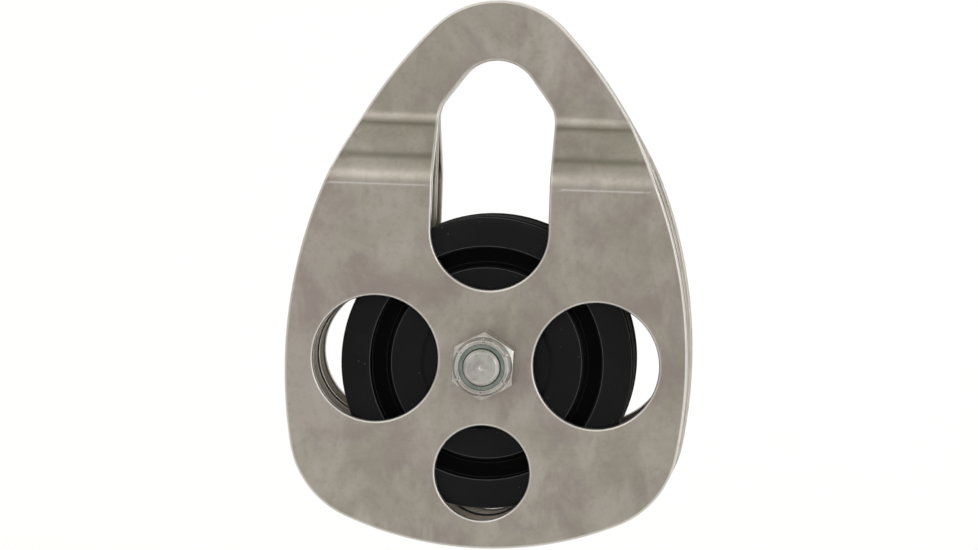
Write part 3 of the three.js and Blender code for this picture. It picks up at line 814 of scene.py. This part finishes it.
def use_group(tree, group, where, **numbers):
    node = tree.nodes.new("ShaderNodeGroup")
    node.node_tree = group
    tree.links.new(where, node.inputs["Vector"])
    for label, value in numbers.items():
        if isinstance(value, (int, float)):
            node.inputs[label].default_value = value
        else:
            tree.links.new(value, node.inputs[label])
    return node.outputs


def start_material(name, **numbers):
    """A material with its Principled shader, its object coordinates and its edge value."""
    material = bpy.data.materials.new(name)
    material.use_nodes = True
    tree = material.node_tree
    shader = tree.nodes["Principled BSDF"]
    for label, value in numbers.items():
        shader.inputs[label.replace("_", " ")].default_value = value
    where = tree.nodes.new("ShaderNodeTexCoord").outputs["Object"]
    edge = tree.nodes.new("ShaderNodeAttribute")
    edge.attribute_name = "edge"
    return material, tree, shader, where, edge.outputs["Fac"]


def set_up(tree, shader, colour, roughness, normal):
    tree.links.new(colour, shader.inputs["Base Color"])
    tree.links.new(roughness, shader.inputs["Roughness"])
    tree.links.new(normal, shader.inputs["Normal"])


def stainless_plate():
    """Tumbled stainless sheet: warm grey, blotched with faint mauve and olive heat stains."""
    material, tree, shader, where, edge = start_material("tumbled_stainless", Metallic=1.0)
    cloud = noise_node(tree, where, 22.0, 7.0, 0.68, 0.8)
    blotch = noise_node(tree, where, 45.0, 5.0, 0.56, 0.5)
    smear = noise_node(tree, stretched(tree, where, (1.4, 1.0, 0.6)), 60.0, 5.0, 0.56, 0.3)
    fleck = noise_node(tree, where, 520.0, 4.0, 0.65)
    colour = mix_colours(tree, spread(tree, cloud, 0.36, 0.66), srgb(181, 174, 165),
                         srgb(160, 155, 142))
    colour = mix_colours(tree, math_node(tree, "MULTIPLY", spread(tree, blotch, 0.44, 0.66), 0.66),
                         colour, srgb(152, 140, 137))
    colour = mix_colours(tree, math_node(tree, "MULTIPLY", spread(tree, smear, 0.46, 0.7), 0.62),
                         colour, srgb(193, 187, 178))
    colour = mix_colours(tree, math_node(tree, "MULTIPLY", spread(tree, fleck, 0.46, 0.74), 0.3),
                         colour, srgb(146, 139, 129))
    # Painted shade: two lines across each cheek's slope are darkened.
    crease_shade = tree.nodes.new("ShaderNodeAttribute")
    crease_shade.attribute_name = "crease_shade"
    colour = mix_colours(tree, math_node(tree, "MULTIPLY", crease_shade.outputs["Fac"], 0.75), colour,
                         srgb(120, 116, 102))
    # Brightened edges; on the cheeks this holds the press line's painted highlight, and on the
    # centre and rear plates a weaker value as painted shade.
    edge_brightening = use_group(tree, BRIGHT_EDGES, where, Edge=edge, Scale=300.0)["Mask"]
    colour = mix_colours(tree, math_node(tree, "MULTIPLY", edge_brightening, 0.9), colour,
                         srgb(232, 230, 225))
    grain = use_group(tree, GRAIN, where, Scale=1500.0, Depth=0.55)
    rough = math_node(tree, "ADD", 0.30, math_node(tree, "MULTIPLY", blotch, 0.22))
    rough = math_node(tree, "SUBTRACT", rough, math_node(tree, "MULTIPLY", edge_brightening, 0.08))
    set_up(tree, shader, colour, rough, grain["Normal"])
    return material


def black_anodised():
    """Satin black with dust, thin pale lines on the machined edges, and painted shade in the
    pockets.
    """
    material, tree, shader, where, edge = start_material("black_anodised", Metallic=0.0)
    # Painted shade in the pockets: the specular is lowered here, and the colour is darkened further
    # down.
    pocket_shade = tree.nodes.new("ShaderNodeAttribute")
    pocket_shade.attribute_name = "pocket_shade"
    shine = math_node(tree, "SUBTRACT", 0.16,
                      math_node(tree, "MULTIPLY", pocket_shade.outputs["Fac"], 0.13))
    tree.links.new(shine, shader.inputs["Specular IOR Level"])
    cloud = noise_node(tree, where, 60.0, 4.0)
    colour = mix_colours(tree, spread(tree, cloud, 0.4, 0.65), srgb(8, 8, 9), srgb(12, 13, 15))
    edge_brightening = use_group(tree, BRIGHT_EDGES, where, Edge=edge, Scale=220.0)["Mask"]
    colour = mix_colours(tree, math_node(tree, "MULTIPLY", edge_brightening, 0.5), colour,
                         srgb(104, 108, 108))
    dust = use_group(tree, DUST, where, Amount=0.2)["Mask"]
    colour = mix_colours(tree, math_node(tree, "MULTIPLY", dust, 0.3), colour,
                         srgb(120, 120, 116))
    # Painted shade: the pockets are darkened towards black.
    colour = mix_colours(tree, math_node(tree, "MULTIPLY", pocket_shade.outputs["Fac"], 0.8), colour,
                         srgb(3, 3, 3))
    grain = use_group(tree, GRAIN, where, Scale=3000.0, Depth=0.18)
    rough = math_node(tree, "ADD", 0.36, math_node(tree, "MULTIPLY", grain["Value"], 0.12))
    set_up(tree, shader, colour, rough, grain["Normal"])
    return material


def zinc_plated():
    """Bright zinc, drifting at random to a little dull and pink, bright on the corners."""
    material, tree, shader, where, edge = start_material("bright_zinc", Metallic=1.0)
    cloud = noise_node(tree, where, 180.0, 5.0, 0.6)
    colour = mix_colours(tree, spread(tree, cloud, 0.4, 0.65), srgb(196, 196, 190),
                         srgb(170, 163, 158))
    edge_brightening = use_group(tree, BRIGHT_EDGES, where, Edge=edge, Scale=500.0)["Mask"]
    colour = mix_colours(tree, math_node(tree, "MULTIPLY", edge_brightening, 0.7), colour,
                         srgb(235, 236, 232))
    grain = use_group(tree, GRAIN, where, Scale=3200.0, Depth=0.15)
    rough = math_node(tree, "ADD", 0.24, math_node(tree, "MULTIPLY", cloud, 0.16))
    set_up(tree, shader, colour, rough, grain["Normal"])
    return material


def plain_finish(name, low, high, base_rough, scale, depth=0.12, metallic=0.0):
    """A finish that drifts between two close colours, with a fine grain."""
    material, tree, shader, where, edge = start_material(name, Metallic=metallic)
    cloud = noise_node(tree, where, scale, 4.0)
    colour = mix_colours(tree, spread(tree, cloud, 0.38, 0.64), srgb(*low), srgb(*high))
    edge_brightening = use_group(tree, BRIGHT_EDGES, where, Edge=edge, Scale=400.0)["Mask"]
    paler = tuple(min(255, 1.25 * c + 12) for c in high)
    colour = mix_colours(tree, math_node(tree, "MULTIPLY", edge_brightening, 0.4), colour, srgb(*paler))
    grain = use_group(tree, GRAIN, where, Scale=2600.0, Depth=depth)
    rough = math_node(tree, "ADD", base_rough, math_node(tree, "MULTIPLY", grain["Value"], 0.12))
    set_up(tree, shader, colour, rough, grain["Normal"])
    return material


# ---- the block --------------------------------------------------------------------------

STAINLESS, BLACK, ZINC = stainless_plate(), black_anodised(), zinc_plated()
BEARING_STEEL = plain_finish("bearing_steel", (190, 193, 196), (205, 207, 208), 0.12, 150.0,
                             0.05, 1.0)
RUBBER = plain_finish("seal_rubber", (22, 22, 23), (32, 31, 30), 0.6, 120.0)
NYLON = plain_finish("nylon_insert", (122, 133, 127), (142, 151, 144), 0.42, 300.0)
CAGE = plain_finish("cage_polymer", (196, 188, 164), (208, 200, 178), 0.45, 200.0)

# The fourth value sets how much a plate's edges are brightened; the low values of the centre and
# rear plates are painted shade inside the block.
for node, bent, side, edge_brightness, body in (("front_cheek_plate", True, -1, 1.0, "front_cheek"),
                                        ("center_plate", False, -1, 0.15, "frame"),
                                        ("rear_cheek_plate", True, 1, 0.45, "rear_cheek")):
    finish_piece(plate(node + "_fine", bent, side, edge_brightness), STAINLESS, "stainless_plate",
                 body, node)

for label, middle in (("front", -BAY_MIDDLE), ("rear", BAY_MIDDLE)):
    finish_piece(sheave(label + "_sheave_fine", middle), BLACK, "black_anodised",
                 label + "_sheave", label + "_sheave")
    ring = span(label + "_bearing_inner_ring")
    spacer_names = [f"{label}_spacer_outboard", f"{label}_spacer_inboard"]
    for node in spacer_names:
        low, high = span(node)
        finish_piece(plain_ring(node + "_fine", BOLT_HOLE, SPACER_RADIUS, low[1], high[1],
                                soft=0.3), ZINC, "zinc_plated", "frame", node)
    outward = math.copysign(1, middle)
    for place, away in (("outboard", outward), ("inboard", -outward)):
        node = f"{label}_bearing_seal_{place}"
        low, high = span(node)
        inner = ring[1][0] + SEAL_CLEARANCE
        finish_piece(seal_ring(node + "_fine", inner, high[0], away, middle), RUBBER,
                     "seal_rubber", label + "_sheave", node)

finish_piece(lock_nut("lock_nut_fine"), ZINC, "zinc_plated", "frame", "lock_nut")
finish_piece(bolt("axle_bolt_fine"), ZINC, "zinc_plated", "frame", "axle_bolt")
insert_low, insert_high = span("lock_nut_insert")
finish_piece(nylon_ring("lock_nut_insert_fine", insert_high[0], insert_low[1], insert_high[1]),
             NYLON, "nylon_insert", "frame", "lock_nut_insert")

finish_by_name = {"ring": BEARING_STEEL, "ball": BEARING_STEEL, "cage": CAGE}
for node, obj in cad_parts.items():
    if obj.hide_render:
        continue
    chosen = next(m for key, m in finish_by_name.items() if key in node.rsplit("bearing_", 1)[-1])
    for place in range(len(obj.data.materials)):
        obj.data.materials[place] = chosen


# ---- floor, light and camera ------------------------------------------------------------

FLOOR_GAP = 90             # millimetres under the plates; the rest of the paper is in metres
FLOOR_FRONT, FLOOR_BACK, COVE, WALL_TOP, PAPER_HALF = -4.0, 1.0, 0.9, 1.5, 5.0
YAW, PITCH, ROLL = 0.077, 0.059, 0.031
DISTANCE, ACROSS, DROP = 1705.7, -1.181, 27.264
LENS, SENSOR = 200.9, 36.0

def backdrop():
    """A floor that curves up into a wall: a profile in Y and Z carried along X.

    The paper is clear from behind, so the block can also be looked at through the wall.
    """
    floor = (AXIS[2] - BOTTOM_DROP - FLOOR_GAP) * MM
    bend = np.linspace(0, HALF_PI, 25)
    y = np.concatenate([[FLOOR_FRONT], FLOOR_BACK + COVE * np.sin(bend), [FLOOR_BACK + COVE]])
    z = np.concatenate([[0], COVE * (1 - np.cos(bend)), [WALL_TOP]]) + floor
    x = np.array([-PAPER_HALF, PAPER_HALF])
    points = np.stack(np.broadcast_arrays(x[:, None], y[None], z[None]), -1).reshape(-1, 3)
    count = len(y)
    j = np.arange(count - 1)
    faces = np.stack([j, j + count, j + count + 1, j + 1], -1)
    mesh = bpy.data.meshes.new("backdrop")
    mesh.from_pydata(points.tolist(), [], faces.tolist())
    mesh.polygons.foreach_set("use_smooth", np.ones(len(mesh.polygons), bool))
    made = bpy.data.objects.new("backdrop", mesh)
    bpy.context.scene.collection.objects.link(made)
    paper = bpy.data.materials.new("white_paper")
    paper.use_nodes = True
    shader = paper.node_tree.nodes["Principled BSDF"]
    shader.inputs["Base Color"].default_value = (0.9, 0.9, 0.9, 1)
    shader.inputs["Roughness"].default_value = 0.9
    shader.inputs["Specular IOR Level"].default_value = 0.0
    tree = paper.node_tree
    clear, both = tree.nodes.new("ShaderNodeBsdfTransparent"), tree.nodes.new("ShaderNodeMixShader")
    tree.links.new(tree.nodes.new("ShaderNodeNewGeometry").outputs["Backfacing"], both.inputs[0])
    tree.links.new(shader.outputs[0], both.inputs[1])
    tree.links.new(clear.outputs[0], both.inputs[2])
    tree.links.new(both.outputs[0], tree.nodes["Material Output"].inputs["Surface"])
    mesh.materials.append(paper)


def softbox(name, place, aim, width, height, watts):
    """A rectangular area light at `place`, facing `aim`, in metres."""
    light = bpy.data.lights.new(name, "AREA")
    light.shape = "RECTANGLE"
    light.size, light.size_y, light.energy = width, height, watts
    made = bpy.data.objects.new(name, light)
    made.location = place
    made.rotation_euler = (Vector(aim) - Vector(place)).to_track_quat("-Z", "Y").to_euler()
    bpy.context.scene.collection.objects.link(made)


def camera():
    """Camera far from the nut, turned by yaw a, pitch b and roll g, and aimed off centre."""
    a, b, g = YAW, PITCH, ROLL
    view_right = np.array([math.cos(a), math.sin(a), 0])
    view_down = np.array([math.sin(a) * math.sin(b), -math.cos(a) * math.sin(b), -math.cos(b)])
    right = math.cos(g) * view_right - math.sin(g) * view_down
    down = math.sin(g) * view_right + math.cos(g) * view_down
    forward = np.array([-math.sin(a) * math.cos(b), math.cos(a) * math.cos(b), -math.sin(b)])
    centre = -(ACROSS * right + DROP * down + DISTANCE * forward)
    centre -= [0, CHEEK_OUTER, -0.6 - AXIS[2]]
    data = bpy.data.cameras.new("camera")
    data.sensor_width, data.lens = SENSOR, LENS
    data.clip_end = 50.0
    made = bpy.data.objects.new("camera", data)
    turn = Matrix(np.column_stack([right, -down, -forward]).tolist()).to_4x4()
    made.matrix_world = Matrix.Translation(Vector(centre * MM)) @ turn
    bpy.context.scene.collection.objects.link(made)
    bpy.context.scene.camera = made


def studio_air():
    """World light by height: dim at eye level, bright from 10 to 65 degrees up, less overhead."""
    world = bpy.data.worlds.new("studio")
    bpy.context.scene.world = world
    world.use_nodes = True
    tree = world.node_tree
    ray = tree.nodes.new("ShaderNodeTexCoord").outputs["Generated"]
    split = tree.nodes.new("ShaderNodeSeparateXYZ")
    tree.links.new(ray, split.inputs["Vector"])
    ramp = tree.nodes.new("ShaderNodeValToRGB")
    stops = ((0.0, 0.50), (0.05, 0.43), (0.16, 0.74), (0.90, 0.86), (0.97, 0.72), (0.99, 0.62))
    while len(ramp.color_ramp.elements) < len(stops):
        ramp.color_ramp.elements.new(0.5)
    for element, (place, level) in zip(ramp.color_ramp.elements, stops):
        element.position = place
        warm = (0.97, 1.0, 0.9) if place > 0.9 else (1.0, 0.975, 0.95)
        element.color = (*(level * part for part in warm), 1)
    tree.links.new(split.outputs["Z"], ramp.inputs["Fac"])
    tree.links.new(ramp.outputs["Color"], tree.nodes["Background"].inputs["Color"])


backdrop()
middle = (0, 0, (AXIS[2] + 25) * MM)
softbox("key_above", (-0.35, -1.0, 0.6), middle, 0.9, 0.6, 1.6)
softbox("fill_right", (1.1, -0.6, 0.1), middle, 0.5, 1.2, 3)
softbox("wall_wash", (0, 0.6, 1.1), (0, 1.8, 0.0), 3.0, 0.4, 11)
studio_air()
bpy.context.scene.view_settings.view_transform = "Standard"
camera()
